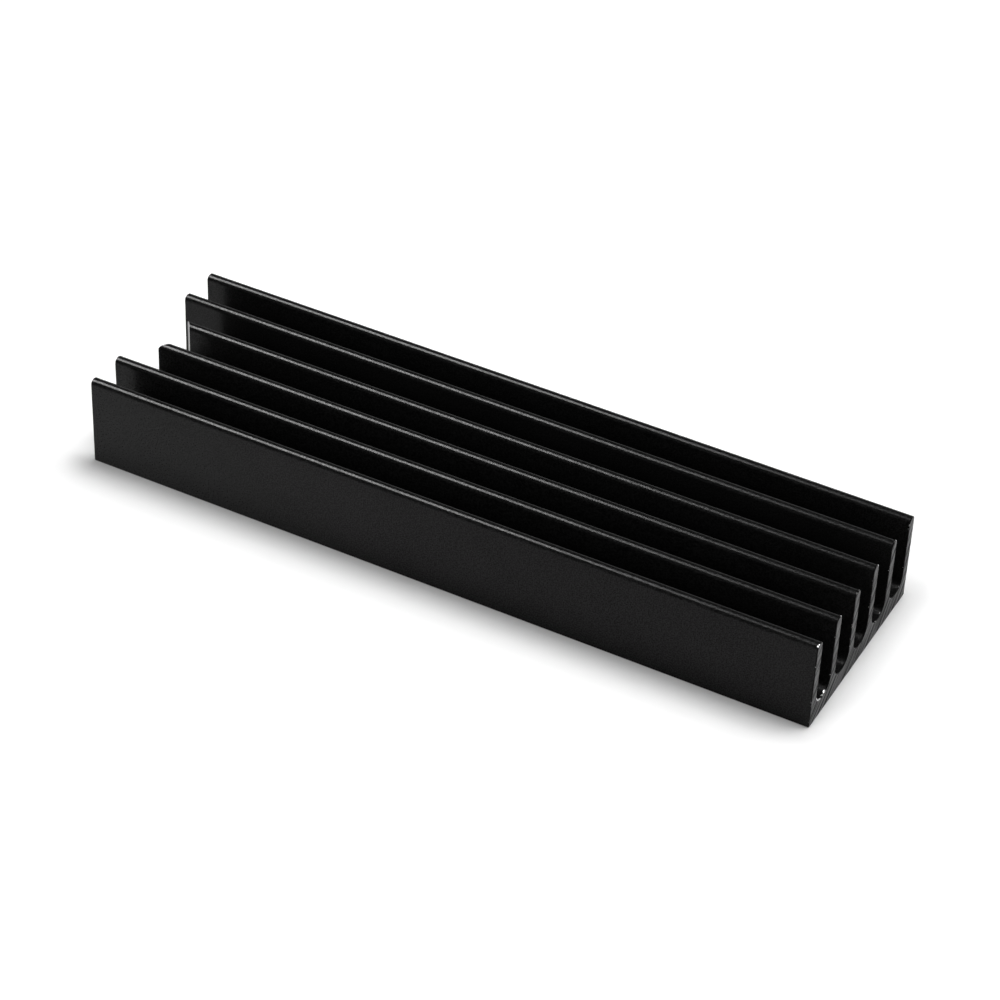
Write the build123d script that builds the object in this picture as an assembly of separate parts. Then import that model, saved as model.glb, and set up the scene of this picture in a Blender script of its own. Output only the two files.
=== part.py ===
from build123d import *
import os

# Heat sink for a solid-state drive module, one length of extruded aluminium.
# Sizes are in millimetres. X runs along the extrusion, Y across the fins, and
# Z up from the flat underside. The origin is the middle of the underside.
# The screw notch is in the -X end. The +X end is a plain saw cut.

# Overall size
body_length = 70.0
body_width = 20.0
body_height = 8.8

# Fins: the tip is rounded on both sides, which leaves a narrow flat on top
fin_count = 6
fin_thickness = 1.0
fin_tip_flat = 0.1

# Base plate, and the narrow flat between the rounded lower corners of a channel
base_thickness = 1.7
channel_floor_flat = 0.4
base_edge_radius = 0.15

# Screw notch, milled upright through the -X end on the centre line
notch_radius = 3.0
notch_center_inset = 0.3

# How far a cutting shape runs past the faces that it cuts
cut_overrun = 1.0

# Spacing and rounding that follow from the sizes above
fin_pitch = (body_width - fin_thickness) / (fin_count - 1)
fin_tip_radius = (fin_thickness - fin_tip_flat) / 2
channel_width = fin_pitch - fin_thickness
channel_depth = body_height - base_thickness
channel_corner_radius = (channel_width - channel_floor_flat) / 2


# One channel seen from the end: open at the top, round in its lower corners.
# Its own origin is the middle of its open top.
def channel_section():
    opening = Rectangle(channel_width, channel_depth, align=(Align.CENTER, Align.MAX))
    lower_corners = opening.vertices().group_by(Axis.Y)[0]
    return fillet(lower_corners, channel_corner_radius)


# The whole section that the die gives: a plate with upright fins.
def fin_section():
    section = Rectangle(body_width, body_height, align=(Align.CENTER, Align.MIN))
    channel = channel_section()
    first_channel = -(fin_count - 2) / 2 * fin_pitch
    for index in range(fin_count - 1):
        center = first_channel + index * fin_pitch
        section -= Pos(center, body_height) * channel
    fin_tips = section.vertices().group_by(Axis.Y)[-1]
    section = fillet(fin_tips, fin_tip_radius)
    base_edges = section.vertices().group_by(Axis.Y)[0]
    return fillet(base_edges, base_edge_radius)


# The round cutter that leaves the screw notch, through the fins and the plate.
def notch_cutter():
    cutter_height = body_height + 2 * cut_overrun
    cutter = Cylinder(notch_radius, cutter_height, align=(Align.CENTER, Align.CENTER, Align.MIN))
    return Pos(-body_length / 2 + notch_center_inset, 0, -cut_overrun) * cutter


# The section drawn out to length, then notched.
def finned_body():
    extrusion = extrude(Plane.YZ * fin_section(), amount=body_length / 2, both=True)
    return extrusion - notch_cutter()


os.makedirs("parts", exist_ok=True)
export_step(finned_body(), "parts/finned_body.step")
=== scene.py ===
import math
import bpy
from mathutils import Matrix, Vector


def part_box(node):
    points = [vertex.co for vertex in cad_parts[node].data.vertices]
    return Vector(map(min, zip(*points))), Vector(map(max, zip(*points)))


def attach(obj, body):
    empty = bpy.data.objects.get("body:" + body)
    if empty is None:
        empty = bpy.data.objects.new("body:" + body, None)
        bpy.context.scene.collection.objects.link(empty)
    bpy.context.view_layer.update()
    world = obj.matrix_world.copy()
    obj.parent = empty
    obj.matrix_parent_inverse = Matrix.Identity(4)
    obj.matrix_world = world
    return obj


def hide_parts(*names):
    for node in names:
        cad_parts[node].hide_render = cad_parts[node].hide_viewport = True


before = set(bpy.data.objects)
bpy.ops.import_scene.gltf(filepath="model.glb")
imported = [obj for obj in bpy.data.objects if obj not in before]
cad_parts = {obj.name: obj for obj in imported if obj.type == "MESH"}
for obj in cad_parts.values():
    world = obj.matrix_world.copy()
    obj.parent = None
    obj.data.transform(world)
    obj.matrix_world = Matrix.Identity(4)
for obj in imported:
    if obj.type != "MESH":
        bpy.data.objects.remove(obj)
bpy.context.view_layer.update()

bodyLow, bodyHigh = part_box("finned_body")
mm = 0.001


def linearColour(hexText):
    # sRGB hex to the linear values that a shader socket takes
    channels = [int(hexText[i:i + 2], 16) / 255 for i in (1, 3, 5)]
    linear = [c / 12.92 if c <= 0.04045 else ((c + 0.055) / 1.055) ** 2.4 for c in channels]
    return (*linear, 1.0)


def addNode(tree, kind, links=None, **settings):
    # adds one node: settings are its properties, links its inputs by name or by place
    node = tree.nodes.new(kind)
    for name, value in settings.items():
        setattr(node, name, value)
    for key, value in (links or {}).items():
        for source in value if isinstance(value, list) else [value]:
            if isinstance(source, bpy.types.Node):
                source = source.outputs[0]
            if isinstance(source, bpy.types.NodeSocket):
                tree.links.new(source, node.inputs[key])
            else:
                node.inputs[key].default_value = source
    return node


def newMaterial(name):
    # an empty node material with its Principled shader wired to the output
    material = bpy.data.materials.new(name)
    material.use_nodes = True
    tree = material.node_tree
    tree.nodes.clear()
    shader = addNode(tree, "ShaderNodeBsdfPrincipled")
    addNode(tree, "ShaderNodeOutputMaterial", {"Surface": shader})
    return material, tree, shader


def newNodeTree(name, inputs, output="Geometry", start=None):
    # a Geometry Nodes tree with one named input for each size and each finish
    tree = bpy.data.node_groups.new(name, "GeometryNodeTree")
    kinds = {int: "NodeSocketInt", float: "NodeSocketFloat",
             bpy.types.Material: "NodeSocketMaterial"}
    if start:
        tree.interface.new_socket(start, in_out="INPUT", socket_type="NodeSocketGeometry")
    for label, value in inputs.items():
        tree.interface.new_socket(label, in_out="INPUT", socket_type=kinds[type(value)])
    tree.interface.new_socket(output, in_out="OUTPUT", socket_type="NodeSocketGeometry")
    return tree, addNode(tree, "NodeGroupInput").outputs


def growPiece(name, tree, inputs, start=None):
    # runs a tree with its inputs set, and keeps what it makes as a plain mesh
    piece = bpy.data.objects.new(name, start or bpy.data.meshes.new(name))
    bpy.context.scene.collection.objects.link(piece)
    modifier = piece.modifiers.new(name, "NODES")
    modifier.node_group = tree
    for socket in tree.interface.items_tree:
        if socket.in_out == "INPUT" and socket.name in inputs:
            modifier[socket.identifier] = inputs[socket.name]
    depsgraph = bpy.context.evaluated_depsgraph_get()
    finished = piece.evaluated_get(depsgraph)
    piece.data = bpy.data.meshes.new_from_object(finished, depsgraph=depsgraph)
    piece.modifiers.clear()
    piece.data.name = name
    print(name, "has", len(piece.data.vertices), "points")
    return piece


# Camera, at the photograph's angle

cameraSettings = {
    "position": (103.0994, -202.2253, 180.6411),   # mm
    "aim": (1.4032, -1.3592, 4.4),                 # mm
    "roll": 2.5556,                                # degrees, right side up
    "lens": 118.968,                               # mm
    "sensor": 36,                                  # mm across
    "clip": (0.01, 20),                            # m, the nearest and farthest seen
}


def placeCamera(settings):
    position = Vector(settings["position"]) * mm
    forward = (Vector(settings["aim"]) * mm - position).normalized()
    right = forward.cross(Vector((0, 0, 1))).normalized()
    up = right.cross(forward)
    roll = math.radians(settings["roll"])
    rolledRight = right * math.cos(roll) + up * math.sin(roll)
    rolledUp = up * math.cos(roll) - right * math.sin(roll)
    turn = Matrix((rolledRight, rolledUp, -forward)).transposed()
    data = bpy.data.cameras.new("photoCamera")
    data.lens = settings["lens"]
    data.sensor_width = settings["sensor"]
    data.clip_start, data.clip_end = settings["clip"]
    camera = bpy.data.objects.new("photoCamera", data)
    camera.matrix_world = Matrix.Translation(position) @ turn.to_4x4()
    bpy.context.scene.collection.objects.link(camera)
    bpy.context.scene.camera = camera


placeCamera(cameraSettings)
print("camera placed")


# Finishes of the extrusion. Anodising dyed black is a thin glassy oxide over etched
# metal: it looks nearly black and neutral, with a soft satin sheen.

anodiseLook = {
    "shade": "#101010",          # the dyed oxide, where the etch is fine
    "paleShade": "#232323",      # where the etch is a little coarser
    "metallic": 0.4,             # the metal that still shows through the dye
    "specular": 0.05,            # the etch takes most of the oxide's own gloss away
    "roughness": (0.205, 0.235),  # least and most, from one die line to the next
    "etchGrain": 0.13,           # mm; the real pits are finer and would not show
    "etchDepth": 0.004,          # mm
    "etchStrength": 0.25,        # share of that depth that the light sees
    "etchSpan": (0.455, 0.665),  # the pattern's low and high, from shade to pale shade
    "cloud": 5.0,                # mm, the slow change of shade over a face
    "cloudShare": 0.12,          # its part of the pattern, against the grain's 1
    "dieLineGap": 0.20,          # mm between the faint lines that the die leaves
    "dieLineLength": 18.0,       # mm, along the extrusion
}
sawLook = {
    "shade": "#181818",
    "paleShade": "#7e7e7e",      # ridges that the teeth left, thinly dyed
    "metallic": 0.8,
    "specular": 0.1,
    "grazing": "#aaaaaa",        # the ridges shade each other at a low angle
    "roughness": 0.36,
    "heavyGap": 0.85,            # mm, between the heavy marks
    "heavyWander": 9.0,          # how unevenly they run
    "wanderScale": 0.15,         # how slowly, against the fine marks
    "heavyShare": (0.02, 0.13),  # their weakest and strongest, against the fine ones
    "fineShare": 0.6,            # the fine marks' part of the pattern
    "toothGap": 0.25,            # mm, the scale of the fine marks between them
    "toothMarkLength": 5.0,      # mm
    "grain": 0.12,               # mm, the grit of the etch on the marks
    "grainShare": 0.15,          # its part of the pattern
    "markDepth": 0.12,           # mm; the real ones are shallower and would not show
    "markSpan": (0.30, 0.48),    # the pattern's low and high, from shade to pale shade
    "bladeCentre": (0.0, -42.0, 43.0),   # mm, the marks are arcs round the blade's shaft
    "markSlope": 45.0,           # degrees, how the arcs climb towards +Y
    "otherEnd": 100.0,           # per m, shifts the pattern from one end to the other
    "paintedTopSheen": 0.05,              # painted highlight: how much paler the ridges are painted towards the fin tips
    "paintedSheenHeights": (1.0, 8.8),    # mm, where that starts and where it is full
}
milledLook = {
    "shade": "#202020",
    "paleShade": "#3e3e3e",      # the tops of the cutter's ridges
    "metallic": 0.8,
    "grazing": "#bcbcbc",        # here too, but less
    "roughness": 0.18,
    "ridgeGap": 0.15,            # mm; the real ones are finer and would not show
    "ridgeStretch": 25.0,        # how much longer than wide they are
    "ridgeDepth": 0.006,         # mm
    "ridgeStrength": 0.4,        # share of that depth that the light sees
}
arrisLook = {
    "shade": "#0a0a0a",          # dyed oxide on a smooth round edge
    "bareShade": "#a8a8a8",      # aluminium where the oxide has worn through
    "roughness": 0.3,
    "wear": 0.35,                # mm, from one worn spot to the next
    "tipWear": 0.05,             # how much more wear there is along the fin tips
    "tipHeights": (8.60, 8.75),  # mm, where that starts and where it is full
    "wearSpan": (0.60, 0.70),    # where the wear starts to show and where it is bare
}
tornLook = {
    "shade": "#d0d0d0",          # aluminium with no oxide to speak of
    "paleShade": "#ececec",      # where the tear is fresh and flat
    "roughness": 0.35,
    "tear": 0.05,                # mm, the grain of the torn metal
}


def makeDrawnFinish(look):
    # die drawn and etched: an even satin black with a fine grain and barely any lines
    material, tree, shader = newMaterial("blackAnodisedDrawn")
    place = addNode(tree, "ShaderNodeTexCoord").outputs["Object"]
    grain = addNode(tree, "ShaderNodeTexNoise", {"Vector": place,
                    "Scale": 1 / (look["etchGrain"] * mm), "Detail": 1.0})
    cloud = addNode(tree, "ShaderNodeTexNoise", {"Vector": place,
                    "Scale": 1 / (look["cloud"] * mm), "Detail": 3.0, "Roughness": 0.6})
    mixed = addNode(tree, "ShaderNodeMath", {0: cloud, 1: look["cloudShare"], 2: grain},
                    operation="MULTIPLY_ADD")
    low, high = look["etchSpan"]
    spread = addNode(tree, "ShaderNodeMapRange", {"Value": mixed, "From Min": low,
                     "From Max": high})
    colour = addNode(tree, "ShaderNodeMix", {"Factor": spread, 6: linearColour(look["shade"]),
                     7: linearColour(look["paleShade"])}, data_type="RGBA")
    tree.links.new(colour.outputs[2], shader.inputs["Base Color"])
    shader.inputs["Metallic"].default_value = look["metallic"]
    shader.inputs["Specular IOR Level"].default_value = look["specular"]
    along = 1 / (look["dieLineLength"] * mm)
    across = 1 / (look["dieLineGap"] * mm)
    lineSpace = addNode(tree, "ShaderNodeMapping", {"Vector": place,
                        "Scale": (along, across, across)})
    dieLines = addNode(tree, "ShaderNodeTexNoise", {"Vector": lineSpace, "Scale": 1.0,
                       "Detail": 2.0})
    least, most = look["roughness"]    # the noise keeps mostly between 0.3 and 0.7
    rough = addNode(tree, "ShaderNodeMapRange", {"Value": dieLines, "From Min": 0.3,
                    "From Max": 0.7, "To Min": least, "To Max": most})
    tree.links.new(rough.outputs[0], shader.inputs["Roughness"])
    bump = addNode(tree, "ShaderNodeBump", {"Height": grain,
                   "Strength": look["etchStrength"], "Distance": look["etchDepth"] * mm})
    tree.links.new(bump.outputs[0], shader.inputs["Normal"])
    return material


def makeSawnFinish(look):
    # sawn, then anodised: the teeth leave shallow arcs that scatter the light, greyer
    # than the drawn faces and streaked, and painted paler towards the top as a painted
    # highlight
    material, tree, shader = newMaterial("blackAnodisedSawn")
    place = addNode(tree, "ShaderNodeTexCoord").outputs["Object"]
    centre = Vector(look["bladeCentre"]) * mm
    fromShaft = addNode(tree, "ShaderNodeVectorMath", {0: place, 1: centre},
                        operation="SUBTRACT")
    onFace = addNode(tree, "ShaderNodeVectorMath", {0: fromShaft, 1: (0, 1, 1)},
                     operation="MULTIPLY")
    radius = addNode(tree, "ShaderNodeVectorMath", {0: onFace}, operation="LENGTH")
    slope = math.radians(look["markSlope"])
    climb = addNode(tree, "ShaderNodeVectorMath", {0: onFace,
                    1: (0, math.cos(slope), math.sin(slope))}, operation="DOT_PRODUCT")
    markAcross = addNode(tree, "ShaderNodeMath", {0: radius.outputs["Value"],
                         1: 1 / (look["toothGap"] * mm)}, operation="MULTIPLY")
    markAlong = addNode(tree, "ShaderNodeMath", {0: climb.outputs["Value"],
                        1: 1 / (look["toothMarkLength"] * mm)}, operation="MULTIPLY")
    placeParts = addNode(tree, "ShaderNodeSeparateXYZ", {"Vector": place})
    endShift = addNode(tree, "ShaderNodeMath", {0: placeParts, 1: look["otherEnd"]},
                       operation="MULTIPLY")
    markSpace = addNode(tree, "ShaderNodeCombineXYZ", {"X": markAcross, "Y": markAlong,
                        "Z": endShift})
    marks = addNode(tree, "ShaderNodeTexNoise", {"Vector": markSpace, "Scale": 1.0,
                    "Detail": 1.0})
    wander = addNode(tree, "ShaderNodeTexNoise", {"Vector": markSpace,
                     "Scale": look["wanderScale"], "Detail": 1.0})
    wandered = addNode(tree, "ShaderNodeMath", {0: wander, 1: look["heavyWander"]},
                       operation="MULTIPLY")
    phase = addNode(tree, "ShaderNodeMath", {0: radius.outputs["Value"],
                    1: 2 * math.pi / (look["heavyGap"] * mm), 2: wandered},
                    operation="MULTIPLY_ADD")
    heavy = addNode(tree, "ShaderNodeMath", {0: phase}, operation="SINE")
    drift = addNode(tree, "ShaderNodeSeparateColor", {"Color": wander.outputs["Color"]})
    weakest, strongest = look["heavyShare"]    # this noise keeps nearer its middle
    weight = addNode(tree, "ShaderNodeMapRange", {"Value": drift.outputs["Green"],
                     "From Min": 0.4, "From Max": 0.6, "To Min": weakest,
                     "To Max": strongest})
    fine = addNode(tree, "ShaderNodeMath", {0: marks, 1: look["fineShare"]},
                   operation="MULTIPLY")
    bothMarks = addNode(tree, "ShaderNodeMath", {0: heavy, 1: weight, 2: fine},
                        operation="MULTIPLY_ADD")
    grain = addNode(tree, "ShaderNodeTexNoise", {"Vector": place,
                    "Scale": 1 / (look["grain"] * mm), "Detail": 2.0})
    mixed = addNode(tree, "ShaderNodeMath", {0: grain, 1: look["grainShare"],
                    2: bothMarks}, operation="MULTIPLY_ADD")
    # painted highlight: the ridges are painted paler upwards, standing in for the brighter
    # reflection higher on the end face
    sheenStart, sheenFull = look["paintedSheenHeights"]
    paintedSheen = addNode(tree, "ShaderNodeMapRange", {"Value": placeParts.outputs["Z"],
                  "From Min": sheenStart * mm, "From Max": sheenFull * mm,
                  "To Max": look["paintedTopSheen"]})
    withSheen = addNode(tree, "ShaderNodeMath", {0: mixed, 1: paintedSheen}, operation="ADD")
    low, high = look["markSpan"]
    ridges = addNode(tree, "ShaderNodeMapRange", {"Value": withSheen, "From Min": low,
                     "From Max": high})
    colour = addNode(tree, "ShaderNodeMix", {"Factor": ridges,
                     6: linearColour(look["shade"]),
                     7: linearColour(look["paleShade"])}, data_type="RGBA")
    tree.links.new(colour.outputs[2], shader.inputs["Base Color"])
    shader.inputs["Metallic"].default_value = look["metallic"]
    shader.inputs["Roughness"].default_value = look["roughness"]
    shader.inputs["Specular Tint"].default_value = linearColour(look["grazing"])
    shader.inputs["Specular IOR Level"].default_value = look["specular"]
    bump = addNode(tree, "ShaderNodeBump", {"Height": mixed, "Strength": 1.0,
                   "Distance": look["markDepth"] * mm})
    tree.links.new(bump.outputs[0], shader.inputs["Normal"])
    return material


def makeMilledFinish(look):
    # the cutter's side leaves a smoother wall than the die, with fine upright ridges
    material, tree, shader = newMaterial("blackAnodisedMilled")
    place = addNode(tree, "ShaderNodeTexCoord").outputs["Object"]
    ridge = 1 / (look["ridgeGap"] * mm)
    ridgeSpace = addNode(tree, "ShaderNodeMapping", {"Vector": place,
                         "Scale": (ridge, ridge, ridge / look["ridgeStretch"])})
    ridges = addNode(tree, "ShaderNodeTexNoise", {"Vector": ridgeSpace, "Scale": 1.0,
                     "Detail": 2.0})
    colour = addNode(tree, "ShaderNodeMix", {"Factor": ridges,
                     6: linearColour(look["shade"]),
                     7: linearColour(look["paleShade"])}, data_type="RGBA")
    tree.links.new(colour.outputs[2], shader.inputs["Base Color"])
    shader.inputs["Metallic"].default_value = look["metallic"]
    shader.inputs["Roughness"].default_value = look["roughness"]
    shader.inputs["Specular Tint"].default_value = linearColour(look["grazing"])
    bump = addNode(tree, "ShaderNodeBump", {"Height": ridges,
                   "Strength": look["ridgeStrength"],
                   "Distance": look["ridgeDepth"] * mm})
    tree.links.new(bump.outputs[0], shader.inputs["Normal"])
    return material


def makeArrisFinish(look):
    # the broken edges: dark and smooth, with bare metal glinting through in spots, a
    # little more of it along the fin tips, which hands and trays touch
    material, tree, shader = newMaterial("blackAnodisedArris")
    place = addNode(tree, "ShaderNodeTexCoord").outputs["Object"]
    wear = addNode(tree, "ShaderNodeTexNoise", {"Vector": place,
                   "Scale": 1 / (look["wear"] * mm), "Detail": 4.0, "Roughness": 0.7})
    height = addNode(tree, "ShaderNodeSeparateXYZ", {"Vector": place})
    wearStart, wearFull = look["tipHeights"]
    tipWear = addNode(tree, "ShaderNodeMapRange", {"Value": height.outputs["Z"],
                      "From Min": wearStart * mm, "From Max": wearFull * mm,
                      "To Max": look["tipWear"]})
    allWear = addNode(tree, "ShaderNodeMath", {0: wear, 1: tipWear}, operation="ADD")
    low, high = look["wearSpan"]
    spots = addNode(tree, "ShaderNodeMapRange", {"Value": allWear, "From Min": low,
                    "From Max": high})
    colour = addNode(tree, "ShaderNodeMix", {"Factor": spots,
                     6: linearColour(look["shade"]),
                     7: linearColour(look["bareShade"])}, data_type="RGBA")
    tree.links.new(colour.outputs[2], shader.inputs["Base Color"])
    shader.inputs["Metallic"].default_value = 1.0
    shader.inputs["Roughness"].default_value = look["roughness"]
    return material


def makeBareMetal(look):
    # freshly torn aluminium: pale, bright and a little soft
    material, tree, shader = newMaterial("bareAluminiumBurr")
    place = addNode(tree, "ShaderNodeTexCoord").outputs["Object"]
    tears = addNode(tree, "ShaderNodeTexNoise", {"Vector": place,
                    "Scale": 1 / (look["tear"] * mm), "Detail": 2.0})
    colour = addNode(tree, "ShaderNodeMix", {"Factor": tears,
                     6: linearColour(look["shade"]),
                     7: linearColour(look["paleShade"])}, data_type="RGBA")
    tree.links.new(colour.outputs[2], shader.inputs["Base Color"])
    shader.inputs["Metallic"].default_value = 1.0
    shader.inputs["Roughness"].default_value = look["roughness"]
    return material


drawnFinish = makeDrawnFinish(anodiseLook)
sawnFinish = makeSawnFinish(sawLook)
milledFinish = makeMilledFinish(milledLook)
arrisFinish = makeArrisFinish(arrisLook)
bareMetal = makeBareMetal(tornLook)
print("finishes made")


# Finned body

sectionSizes = {
    "Width": bodyHigh.y - bodyLow.y,
    "Height": bodyHigh.z - bodyLow.z,
    "Fin Count": 6,
    "Fin Thickness": 1.0 * mm,
    "Base Thickness": 1.7 * mm,
    "Tip Radius": 0.45 * mm,
    "Channel Corner Radius": 1.2 * mm,
    "Base Edge Radius": 0.15 * mm,
}
cutSizes = {
    "Length": bodyHigh.x - bodyLow.x,
    "Notch Radius": 3.0 * mm,
    "Notch Inset": 0.3 * mm,      # from the end face to the cutter's centre
}
bodySizes = {
    **sectionSizes,
    **cutSizes,
    "Drawn Finish": drawnFinish,
    "Sawn Finish": sawnFinish,
    "Milled Finish": milledFinish,
}
arrisSizes = {
    "width": 0.09 * mm,           # the saw's sharp edges, broken by the etch
    "notchShare": 0.35,           # of that width, as the cutter's edges are crisper
    "sharpFold": 35,              # degrees, the least fold between two faces to round
    "segments": 2,
}
cornerSteps = 10                  # how finely each round corner of the section is drawn
cutterSides = 144
welded = 0.001 * mm               # points closer than this are one


def drawSection(sizes):
    # The section's outline, drawn from four corners for each fin and then rounded. The
    # corners run from the lower front edge over the fins to the lower back edge.
    tree, given = newNodeTree("finSection", sizes, "Outline")
    index = addNode(tree, "GeometryNodeInputIndex")
    cornerCount = addNode(tree, "ShaderNodeMath", {0: given["Fin Count"], 1: 4.0},
                          operation="MULTIPLY")
    spare = addNode(tree, "ShaderNodeMath", {0: given["Width"], 1: given["Fin Thickness"]},
                    operation="SUBTRACT")
    gapCount = addNode(tree, "ShaderNodeMath", {0: given["Fin Count"], 1: 1.0},
                       operation="SUBTRACT")
    pitch = addNode(tree, "ShaderNodeMath", {0: spare, 1: gapCount}, operation="DIVIDE")
    frontFace = addNode(tree, "ShaderNodeMath", {0: given["Width"], 1: -0.5},
                        operation="MULTIPLY")

    # corners 0 and 1 are a fin's tip, 2 is the foot of its back, 3 the next fin's foot
    step = addNode(tree, "ShaderNodeMath", {0: index, 1: 1.0}, operation="SUBTRACT")
    quarter = addNode(tree, "ShaderNodeMath", {0: step, 1: 0.25}, operation="MULTIPLY")
    fin = addNode(tree, "ShaderNodeMath", {0: quarter}, operation="FLOOR")
    corner = addNode(tree, "ShaderNodeMath", {0: fin, 1: -4.0, 2: step},
                     operation="MULTIPLY_ADD")
    isTip = addNode(tree, "ShaderNodeMath", {0: corner, 1: 1.5}, operation="LESS_THAN")
    isBackOfFin = addNode(tree, "ShaderNodeMath", {0: corner, 1: 1.5, 2: 0.75},
                          operation="COMPARE")
    isNextFin = addNode(tree, "ShaderNodeMath", {0: corner, 1: 2.5},
                        operation="GREATER_THAN")
    lastCorner = addNode(tree, "ShaderNodeMath", {0: cornerCount, 1: 1.5},
                         operation="SUBTRACT")
    isFirst = addNode(tree, "ShaderNodeMath", {0: index, 1: 0.5}, operation="LESS_THAN")
    isLast = addNode(tree, "ShaderNodeMath", {0: index, 1: lastCorner},
                     operation="GREATER_THAN")
    isBaseEdge = addNode(tree, "ShaderNodeMath", {0: isFirst, 1: isLast}, operation="ADD")

    finStart = addNode(tree, "ShaderNodeMath", {0: fin, 1: pitch, 2: frontFace},
                       operation="MULTIPLY_ADD")
    finSide = addNode(tree, "ShaderNodeMath", {0: isBackOfFin, 1: given["Fin Thickness"],
                      2: finStart}, operation="MULTIPLY_ADD")
    across = addNode(tree, "ShaderNodeMath", {0: isNextFin, 1: pitch, 2: finSide},
                     operation="MULTIPLY_ADD")
    cornerHeight = addNode(tree, "GeometryNodeSwitch", {"Switch": isTip,
                           "False": given["Base Thickness"], "True": given["Height"]},
                           input_type="FLOAT")
    height = addNode(tree, "GeometryNodeSwitch", {"Switch": isBaseEdge,
                     "False": cornerHeight, "True": 0.0}, input_type="FLOAT")
    cornerRadius = addNode(tree, "GeometryNodeSwitch", {"Switch": isTip,
                           "False": given["Channel Corner Radius"],
                           "True": given["Tip Radius"]}, input_type="FLOAT")
    radius = addNode(tree, "GeometryNodeSwitch", {"Switch": isBaseEdge,
                     "False": cornerRadius, "True": given["Base Edge Radius"]},
                     input_type="FLOAT")

    corners = addNode(tree, "GeometryNodeMeshLine", {"Count": cornerCount})
    place = addNode(tree, "ShaderNodeCombineXYZ", {"X": across, "Y": height})
    placed = addNode(tree, "GeometryNodeSetPosition", {"Geometry": corners,
                     "Position": place})
    line = addNode(tree, "GeometryNodeMeshToCurve", {"Mesh": placed})
    closed = addNode(tree, "GeometryNodeSetSplineCyclic", {"Geometry": line, "Cyclic": True})
    rounded = addNode(tree, "GeometryNodeFilletCurve", {"Curve": closed,
                      "Count": cornerSteps, "Radius": radius}, mode="POLY")
    addNode(tree, "NodeGroupOutput", {"Outline": rounded})
    return tree


def extrudeBody(sizes, sectionTree):
    # the section as a face at the notched end, pulled to length, closed and notched
    tree, given = newNodeTree("finnedBody", sizes)
    section = addNode(tree, "GeometryNodeGroup", node_tree=sectionTree)
    for label in sectionSizes:
        tree.links.new(given[label], section.inputs[label])
    halfLength = addNode(tree, "ShaderNodeMath", {0: given["Length"], 1: 0.5},
                         operation="MULTIPLY")
    notchedEnd = addNode(tree, "ShaderNodeMath", {0: given["Length"], 1: -0.5},
                         operation="MULTIPLY")
    notchCentre = addNode(tree, "ShaderNodeMath", {0: notchedEnd, 1: given["Notch Inset"]},
                          operation="ADD")

    face = addNode(tree, "GeometryNodeFillCurve", {"Curve": section}, mode="NGONS")
    faceAt = addNode(tree, "ShaderNodeCombineXYZ", {"X": notchedEnd})
    endFace = addNode(tree, "GeometryNodeTransform", {"Geometry": face,
                      "Translation": faceAt,
                      "Rotation": (math.pi / 2, 0, math.pi / 2)})
    pulled = addNode(tree, "GeometryNodeExtrudeMesh", {"Mesh": endFace,
                     "Offset": (1, 0, 0), "Offset Scale": given["Length"],
                     "Individual": False}, mode="FACES")
    turned = addNode(tree, "GeometryNodeFlipFaces", {"Mesh": endFace})
    joined = addNode(tree, "GeometryNodeJoinGeometry", {"Geometry": [pulled, turned]})
    bar = addNode(tree, "GeometryNodeMergeByDistance", {"Geometry": joined,
                  "Distance": welded})

    cutterHeight = addNode(tree, "ShaderNodeMath", {0: given["Height"], 1: 2.0},
                           operation="MULTIPLY")
    cutter = addNode(tree, "GeometryNodeMeshCylinder", {"Vertices": cutterSides,
                     "Radius": given["Notch Radius"], "Depth": cutterHeight},
                     fill_type="NGON")
    cutterAt = addNode(tree, "ShaderNodeCombineXYZ", {"X": notchCentre,
                       "Z": given["Base Thickness"]})
    placedCutter = addNode(tree, "GeometryNodeTransform", {"Geometry": cutter,
                           "Translation": cutterAt})
    notched = addNode(tree, "GeometryNodeMeshBoolean", {"Mesh 1": bar,
                      "Mesh 2": placedCutter}, operation="DIFFERENCE", solver="EXACT")

    # a face is sawn where it lies in an end plane, and milled where it lies in the notch
    endSlack = 0.01 * mm
    wallSlack = 0.02 * mm
    spot = addNode(tree, "GeometryNodeInputPosition")
    spotParts = addNode(tree, "ShaderNodeSeparateXYZ", {"Vector": spot})
    fromMiddle = addNode(tree, "ShaderNodeMath", {0: spotParts, 1: 0.0},
                         operation="ABSOLUTE")
    nearEnd = addNode(tree, "ShaderNodeMath", {0: halfLength, 1: endSlack},
                      operation="SUBTRACT")
    isSawn = addNode(tree, "ShaderNodeMath", {0: fromMiddle, 1: nearEnd},
                     operation="GREATER_THAN")
    level = addNode(tree, "ShaderNodeCombineXYZ", {"X": spotParts,
                    "Y": spotParts.outputs["Y"]})
    axis = addNode(tree, "ShaderNodeCombineXYZ", {"X": notchCentre})
    fromAxis = addNode(tree, "ShaderNodeVectorMath", {0: level, 1: axis},
                       operation="DISTANCE")
    wallReach = addNode(tree, "ShaderNodeMath", {0: given["Notch Radius"], 1: wallSlack},
                        operation="ADD")
    isMilled = addNode(tree, "ShaderNodeMath", {0: fromAxis.outputs["Value"],
                       1: wallReach}, operation="LESS_THAN")

    whole = addNode(tree, "GeometryNodeRealizeInstances", {"Geometry": notched})
    drawn = addNode(tree, "GeometryNodeSetMaterial", {"Geometry": whole,
                    "Material": given["Drawn Finish"]})
    sawn = addNode(tree, "GeometryNodeSetMaterial", {"Geometry": drawn,
                   "Selection": isSawn, "Material": given["Sawn Finish"]})
    milled = addNode(tree, "GeometryNodeSetMaterial", {"Geometry": sawn,
                     "Selection": isMilled, "Material": given["Milled Finish"]})
    addNode(tree, "NodeGroupOutput", {"Geometry": milled})
    return tree


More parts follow.
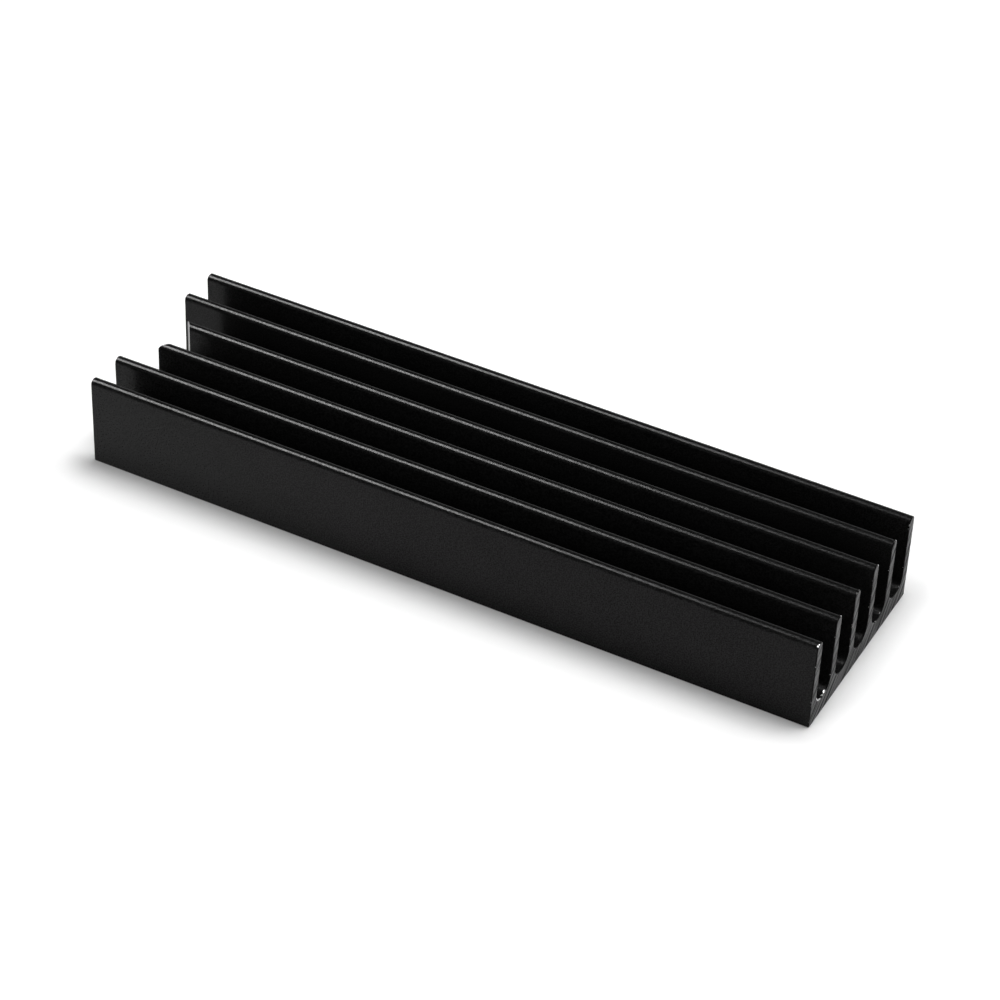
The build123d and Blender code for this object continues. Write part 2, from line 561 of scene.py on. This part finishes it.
def breakEdges(piece, sizes, finish):
    # rounds the edges that the saw left, and more finely those round the notch, some
    # of which are too acute for a wide one
    milled = piece.data.materials.find(milledFinish.name)
    facesAt = {}
    for face in piece.data.polygons:
        for key in face.edge_keys:
            facesAt.setdefault(key, []).append(face)
    weights = piece.data.attributes.new("bevel_weight_edge", "FLOAT", "EDGE")
    for edge in piece.data.edges:
        one, other = facesAt[edge.key]
        if one.normal.angle(other.normal) > math.radians(sizes["sharpFold"]):
            byNotch = milled in (one.material_index, other.material_index)
            weights.data[edge.index].value = sizes["notchShare"] if byNotch else 1.0
    piece.data.materials.append(finish)
    piece.data.shade_smooth()
    arris = piece.modifiers.new("arris", "BEVEL")
    arris.width = sizes["width"]
    arris.segments = sizes["segments"]
    arris.limit_method = "WEIGHT"
    arris.use_clamp_overlap = False
    arris.material = len(piece.data.materials) - 1
    piece.modifiers.new("flatFaces", "WEIGHTED_NORMAL")   # keeps flat faces flat


sectionTree = drawSection(sectionSizes)
finnedBody = growPiece("finnedBody", extrudeBody(bodySizes, sectionTree), bodySizes)
breakEdges(finnedBody, arrisSizes, arrisFinish)
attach(finnedBody, "root")
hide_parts("finned_body")
print("body drawn, pulled and notched")


# Burrs: slivers of bare metal that the saw pushed over the edges of both ends

burrSizes = {
    **sectionSizes,
    **cutSizes,
    "Fleck Gap": 0.15 * mm,       # between the places where a fleck may stand
    "Share Kept": 0.015,          # of those places
    "Fleck Size": 0.03 * mm,
    "Tear Size": 0.03 * mm,       # how ragged the slivers are
    "Seed": 12,
    "Metal": bareMetal,
}
burrShape = {
    "leastStretch": (0.5, 0.5, 0.6),   # of the fleck size
    "mostStretch": (0.9, 0.9, 2.2),
    "raggedGap": 0.07,            # mm, from one tear to the next
    "inside": 0.001,              # mm, how far inside the solid's box all of it stays
}
# larger slivers: along, across and up (mm), length and thickness (mm), turn (degrees)
slivers = [
    (34.91, -7.12, 1.80, 0.40, 0.18, 20),
    (34.92, -7.46, 1.68, 0.26, 0.14, 5),
    (34.94, -8.86, 2.32, 0.40, 0.14, -65),
    (34.94, -8.52, 1.94, 0.46, 0.16, -42),
    (34.94, -8.12, 1.75, 0.36, 0.14, -15),
    (34.91, -9.88, 8.70, 0.16, 0.18, 0),
    (34.93, -9.70, 8.75, 0.22, 0.09, 15),
    (34.94, -4.80, 1.88, 0.26, 0.10, -35),
    (34.94, -5.42, 8.70, 0.16, 0.11, -35),
    (34.94, 2.24, 8.66, 0.22, 0.09, -50),
    (34.94, 6.02, 8.66, 0.22, 0.09, -50),
    (34.94, 3.42, 1.70, 0.18, 0.06, 0),
    (34.94, 4.36, 1.96, 0.18, 0.06, 40),
    (-31.29, 5.44, 8.68, 0.07, 0.10, 0),
]


def leaveBurrs(sizes, sectionTree):
    # flecks at random along the section's outline at both ends, none over the notch,
    # and the larger slivers at their own places; then all are torn a little
    tree, given = newNodeTree("sawBurrs", sizes, start="Slivers")
    section = addNode(tree, "GeometryNodeGroup", node_tree=sectionTree)
    for label in sectionSizes:
        tree.links.new(given[label], section.inputs[label])
    upright = (math.pi / 2, 0, math.pi / 2)
    ends = []
    for side in (-1, 1):
        inset = addNode(tree, "ShaderNodeMath", {0: given["Length"], 1: side * 0.5,
                        2: -side * arrisSizes["width"]}, operation="MULTIPLY_ADD")
        endAt = addNode(tree, "ShaderNodeCombineXYZ", {"X": inset})
        ends.append(addNode(tree, "GeometryNodeTransform", {"Geometry": section,
                    "Translation": endAt, "Rotation": upright}))
    outlines = addNode(tree, "GeometryNodeJoinGeometry", {"Geometry": ends})
    spots = addNode(tree, "GeometryNodeCurveToPoints", {"Curve": outlines,
                    "Length": given["Fleck Gap"]}, mode="LENGTH")
    chance = addNode(tree, "FunctionNodeRandomValue", {"Seed": given["Seed"]})
    dropped = addNode(tree, "ShaderNodeMath", {0: chance.outputs[1],
                      1: given["Share Kept"]}, operation="GREATER_THAN")
    spot = addNode(tree, "GeometryNodeInputPosition")
    level = addNode(tree, "ShaderNodeVectorMath", {0: spot, 1: (1, 1, 0)},
                    operation="MULTIPLY")
    axisAt = addNode(tree, "ShaderNodeMath", {0: given["Length"], 1: -0.5,
                     2: given["Notch Inset"]}, operation="MULTIPLY_ADD")
    axis = addNode(tree, "ShaderNodeCombineXYZ", {"X": axisAt})
    fromAxis = addNode(tree, "ShaderNodeVectorMath", {0: level, 1: axis},
                       operation="DISTANCE")
    clearOfNotch = addNode(tree, "ShaderNodeMath", {0: given["Notch Radius"],
                           1: arrisSizes["width"]}, operation="ADD")
    inNotch = addNode(tree, "ShaderNodeMath", {0: fromAxis.outputs["Value"],
                      1: clearOfNotch}, operation="LESS_THAN")
    unwanted = addNode(tree, "ShaderNodeMath", {0: dropped, 1: inNotch},
                       operation="MAXIMUM")
    kept = addNode(tree, "GeometryNodeDeleteGeometry", {"Geometry": spots,
                   "Selection": unwanted})
    fleck = addNode(tree, "GeometryNodeMeshIcoSphere", {"Radius": 1.0, "Subdivisions": 1})
    stretch = addNode(tree, "FunctionNodeRandomValue", {0: burrShape["leastStretch"],
                      1: burrShape["mostStretch"], "Seed": given["Seed"]},
                      data_type="FLOAT_VECTOR")
    fleckScale = addNode(tree, "ShaderNodeVectorMath", {0: stretch,
                         "Scale": given["Fleck Size"]}, operation="SCALE")
    flecks = addNode(tree, "GeometryNodeInstanceOnPoints", {"Points": kept,
                     "Instance": fleck, "Rotation": spots.outputs["Rotation"],
                     "Scale": fleckScale})
    sliver = addNode(tree, "GeometryNodeMeshIcoSphere", {"Radius": 0.5, "Subdivisions": 3})
    sliverScale = addNode(tree, "GeometryNodeInputNamedAttribute", {"Name": "span"},
                          data_type="FLOAT_VECTOR")
    sliverTurn = addNode(tree, "GeometryNodeInputNamedAttribute", {"Name": "turn"},
                         data_type="FLOAT_VECTOR")
    large = addNode(tree, "GeometryNodeInstanceOnPoints", {"Points": given["Slivers"],
                    "Instance": sliver, "Rotation": sliverTurn, "Scale": sliverScale})
    both = addNode(tree, "GeometryNodeJoinGeometry", {"Geometry": [flecks, large]})
    whole = addNode(tree, "GeometryNodeRealizeInstances", {"Geometry": both})

    ragged = addNode(tree, "ShaderNodeTexNoise", {"Vector": spot,
                     "Scale": 1 / (burrShape["raggedGap"] * mm), "Detail": 1.0})
    centred = addNode(tree, "ShaderNodeVectorMath", {0: ragged.outputs["Color"],
                      1: (0.5, 0.5, 0.5)}, operation="SUBTRACT")
    tear = addNode(tree, "ShaderNodeVectorMath", {0: centred,
                   "Scale": given["Tear Size"]}, operation="SCALE")
    torn = addNode(tree, "GeometryNodeSetPosition", {"Geometry": whole, "Offset": tear})
    inside = Vector((1, 1, 1)) * burrShape["inside"] * mm
    highest = addNode(tree, "ShaderNodeVectorMath", {0: spot, 1: bodyHigh - inside},
                      operation="MINIMUM")
    inBox = addNode(tree, "ShaderNodeVectorMath", {0: highest, 1: bodyLow + inside},
                    operation="MAXIMUM")
    trimmed = addNode(tree, "GeometryNodeSetPosition", {"Geometry": torn,
                      "Position": inBox})
    metal = addNode(tree, "GeometryNodeSetMaterial", {"Geometry": trimmed,
                    "Material": given["Metal"]})
    addNode(tree, "NodeGroupOutput", {"Geometry": metal})
    return tree


def placeSlivers(rows):
    # one point for each larger sliver, with its span and its turn
    mesh = bpy.data.meshes.new("slivers")
    mesh.from_pydata([Vector(row[:3]) * mm for row in rows], [], [])
    span = mesh.attributes.new("span", "FLOAT_VECTOR", "POINT")
    turn = mesh.attributes.new("turn", "FLOAT_VECTOR", "POINT")
    for i, (length, thick, degrees) in enumerate(row[3:] for row in rows):
        span.data[i].vector = (thick * mm, length * mm, thick * mm)
        turn.data[i].vector = (math.radians(degrees), 0, 0)
    return mesh


sawBurrs = growPiece("sawBurrs", leaveBurrs(burrSizes, sectionTree), burrSizes,
                     placeSlivers(slivers))
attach(sawBurrs, "root")
print("burrs left at both ends")


# Floor

floorLook = {
    "paint": "#f4f4f4",
    "size": 3.0,                  # m across
    # the glow is least at the object's foot: painted shade on top of the lamps' own contact
    # shadow
    "contactGlow": 0.02,          # what camera and mirror rays see besides the light,
    "nearGlow": 0.30,             # at the object's foot, and clear of it
    "nearGap": 3.0,               # mm from the foot to where it is clear
    "farGlow": 0.8,               # added far away, where the lamps' light thins out
    "farStart": 0.10,             # m from the object's middle
    "farFull": 0.40,
    "poolCentre": (-50.0, 15.0, 0.0),   # mm, just past the notched end
    "poolReach": 70.0,            # mm
    "poolGlow": 1.0,              # painted light that the object's gloss sees there besides
}


def makeFloor(look):
    # matt white board; the lamps give it its shade, and rays that show a background
    # see it rise to plain white away from the object. Along the object's foot the glow stays
    # low, painted shade that deepens the lamps' own contact shadow. The object's gloss alone
    # sees a painted pool of light on the left, standing in for the overhead softbox's light
    # on the board, which fades the front face from left to right.
    material, tree, shader = newMaterial("matteWhiteBoard")
    shader.inputs["Base Color"].default_value = linearColour(look["paint"])
    shader.inputs["Roughness"].default_value = 1.0
    shader.inputs["Specular IOR Level"].default_value = 0.0
    place = addNode(tree, "ShaderNodeTexCoord").outputs["Object"]
    halfFoot = (bodyHigh.x, bodyHigh.y, 0)
    aside = addNode(tree, "ShaderNodeVectorMath", {0: place}, operation="ABSOLUTE")
    past = addNode(tree, "ShaderNodeVectorMath", {0: aside, 1: halfFoot},
                   operation="SUBTRACT")
    outside = addNode(tree, "ShaderNodeVectorMath", {0: past, 1: (0, 0, 0)},
                      operation="MAXIMUM")
    fromFoot = addNode(tree, "ShaderNodeVectorMath", {0: outside}, operation="LENGTH")
    # painted shade: the glow rises from its least at the foot to its full clear of it
    near = addNode(tree, "ShaderNodeMapRange", {"Value": fromFoot.outputs["Value"],
                   "From Max": look["nearGap"] * mm, "To Min": look["contactGlow"],
                   "To Max": look["nearGlow"]})
    fromMiddle = addNode(tree, "ShaderNodeVectorMath", {0: place}, operation="LENGTH")
    far = addNode(tree, "ShaderNodeMapRange", {"Value": fromMiddle.outputs["Value"],
                  "From Min": look["farStart"], "From Max": look["farFull"],
                  "To Max": look["farGlow"]}, interpolation_type="SMOOTHSTEP")
    glow = addNode(tree, "ShaderNodeMath", {0: near, 1: far}, operation="ADD")
    # painted pool of light, seen by gloss alone, for the overhead softbox's light on the
    # board
    fromPool = addNode(tree, "ShaderNodeVectorMath", {0: place,
                       1: Vector(look["poolCentre"]) * mm}, operation="DISTANCE")
    pool = addNode(tree, "ShaderNodeMapRange", {"Value": fromPool.outputs["Value"],
                   "From Max": look["poolReach"] * mm, "To Min": look["poolGlow"],
                   "To Max": 0.0}, interpolation_type="SMOOTHSTEP")
    rays = addNode(tree, "ShaderNodeLightPath")
    seen = addNode(tree, "ShaderNodeMath", {0: rays.outputs["Is Camera Ray"],
                   1: rays.outputs["Is Glossy Ray"]}, operation="ADD")
    seenAny = addNode(tree, "ShaderNodeMath", {0: seen,
                      1: rays.outputs["Is Transmission Ray"]}, operation="ADD",
                      use_clamp=True)
    poolSeen = addNode(tree, "ShaderNodeMath", {0: pool, 1: rays.outputs["Is Glossy Ray"]},
                       operation="MULTIPLY")
    strength = addNode(tree, "ShaderNodeMath", {0: glow, 1: seenAny, 2: poolSeen},
                       operation="MULTIPLY_ADD", use_clamp=True)
    shader.inputs["Emission Color"].default_value = linearColour("#ffffff")
    tree.links.new(strength.outputs[0], shader.inputs["Emission Strength"])
    half = look["size"] / 2
    corners = [(-half, -half, 0), (half, -half, 0), (half, half, 0), (-half, half, 0)]
    mesh = bpy.data.meshes.new("floor")
    mesh.from_pydata(corners, [], [(0, 1, 2, 3)])
    mesh.materials.append(material)
    floor = bpy.data.objects.new("floor", mesh)
    bpy.context.scene.collection.objects.link(floor)


makeFloor(floorLook)
print("floor laid")


# Light. A softbox overhead and to the left draws one bright line along each rounded
# tip. One behind lights the floor and sets the shadow, and a weak one in front fills
# the channels. The camera's side of the room is dark.

# place, aim and size in m; those with "floor" light matt surfaces alone, and the
# sheen is seen by gloss alone
softboxes = {
    "sheen": {"place": (-0.330, -0.05, 0.60), "aim": (0, 0, 0), "size": (0.25, 0.46),
              "radiance": 38.0, "floor": False},
    "back": {"place": (0.157, 0.179, 0.60), "aim": (0, 0, 0), "size": (0.48, 0.33),
             "radiance": 6.1, "floor": True},
    "fill": {"place": (-0.20, -0.52, 0.41), "aim": (0, 0, 0), "size": (0.46, 0.46),
             "radiance": 2.4, "floor": True},
}
roomLook = {
    "ring": 1.0,                  # white band low around the room
    "ringTop": 20.0,              # degrees above the horizon
    "ringFade": 4.0,              # degrees to either side of that
    "dark": 0.12,                 # above the band, and on the camera's side
    "frontFade": (-0.25, 0.05),   # across the room, from -1 at the camera's side to 1
}


def hangSoftbox(name, settings):
    place = Vector(settings["place"])
    width, length = settings["size"]
    data = bpy.data.lights.new(name, "AREA")
    data.shape = "RECTANGLE"
    data.size = width
    data.size_y = length
    data.energy = settings["radiance"] * math.pi * width * length   # W
    lamp = bpy.data.objects.new(name, data)
    back = (place - Vector(settings["aim"])).normalized()
    side = Vector((0, 1, 0)).cross(back).normalized()
    lamp.matrix_world = Matrix.Translation(place) @ Matrix(
        (side, back.cross(side), back)).transposed().to_4x4()
    bpy.context.scene.collection.objects.link(lamp)
    lamp.visible_diffuse = settings["floor"]
    lamp.visible_glossy = not settings["floor"]


def lightRoom(look):
    world = bpy.data.worlds.new("studioRoom")
    bpy.context.scene.world = world
    world.use_nodes = True
    tree = world.node_tree
    tree.nodes.clear()
    way = addNode(tree, "ShaderNodeTexCoord").outputs["Generated"]
    parts = addNode(tree, "ShaderNodeSeparateXYZ", {"Vector": way})
    low = math.sin(math.radians(look["ringTop"] - look["ringFade"]))
    high = math.sin(math.radians(look["ringTop"] + look["ringFade"]))
    shade = addNode(tree, "ShaderNodeMapRange", {"Value": parts.outputs["Z"],
                    "From Min": low, "From Max": high, "To Min": look["ring"],
                    "To Max": look["dark"]}, interpolation_type="SMOOTHSTEP")
    start, full = look["frontFade"]
    front = addNode(tree, "ShaderNodeMapRange", {"Value": parts.outputs["Y"],
                    "From Min": start, "From Max": full}, interpolation_type="SMOOTHSTEP")
    lit = addNode(tree, "ShaderNodeMix", {"Factor": front, 2: look["dark"], 3: shade})
    background = addNode(tree, "ShaderNodeBackground", {"Color": linearColour("#ffffff"),
                         "Strength": lit})
    addNode(tree, "ShaderNodeOutputWorld", {"Surface": background})


for name, settings in softboxes.items():
    hangSoftbox(name, settings)
lightRoom(roomLook)
bpy.context.scene.view_settings.view_transform = "Standard"
print("lights hung")
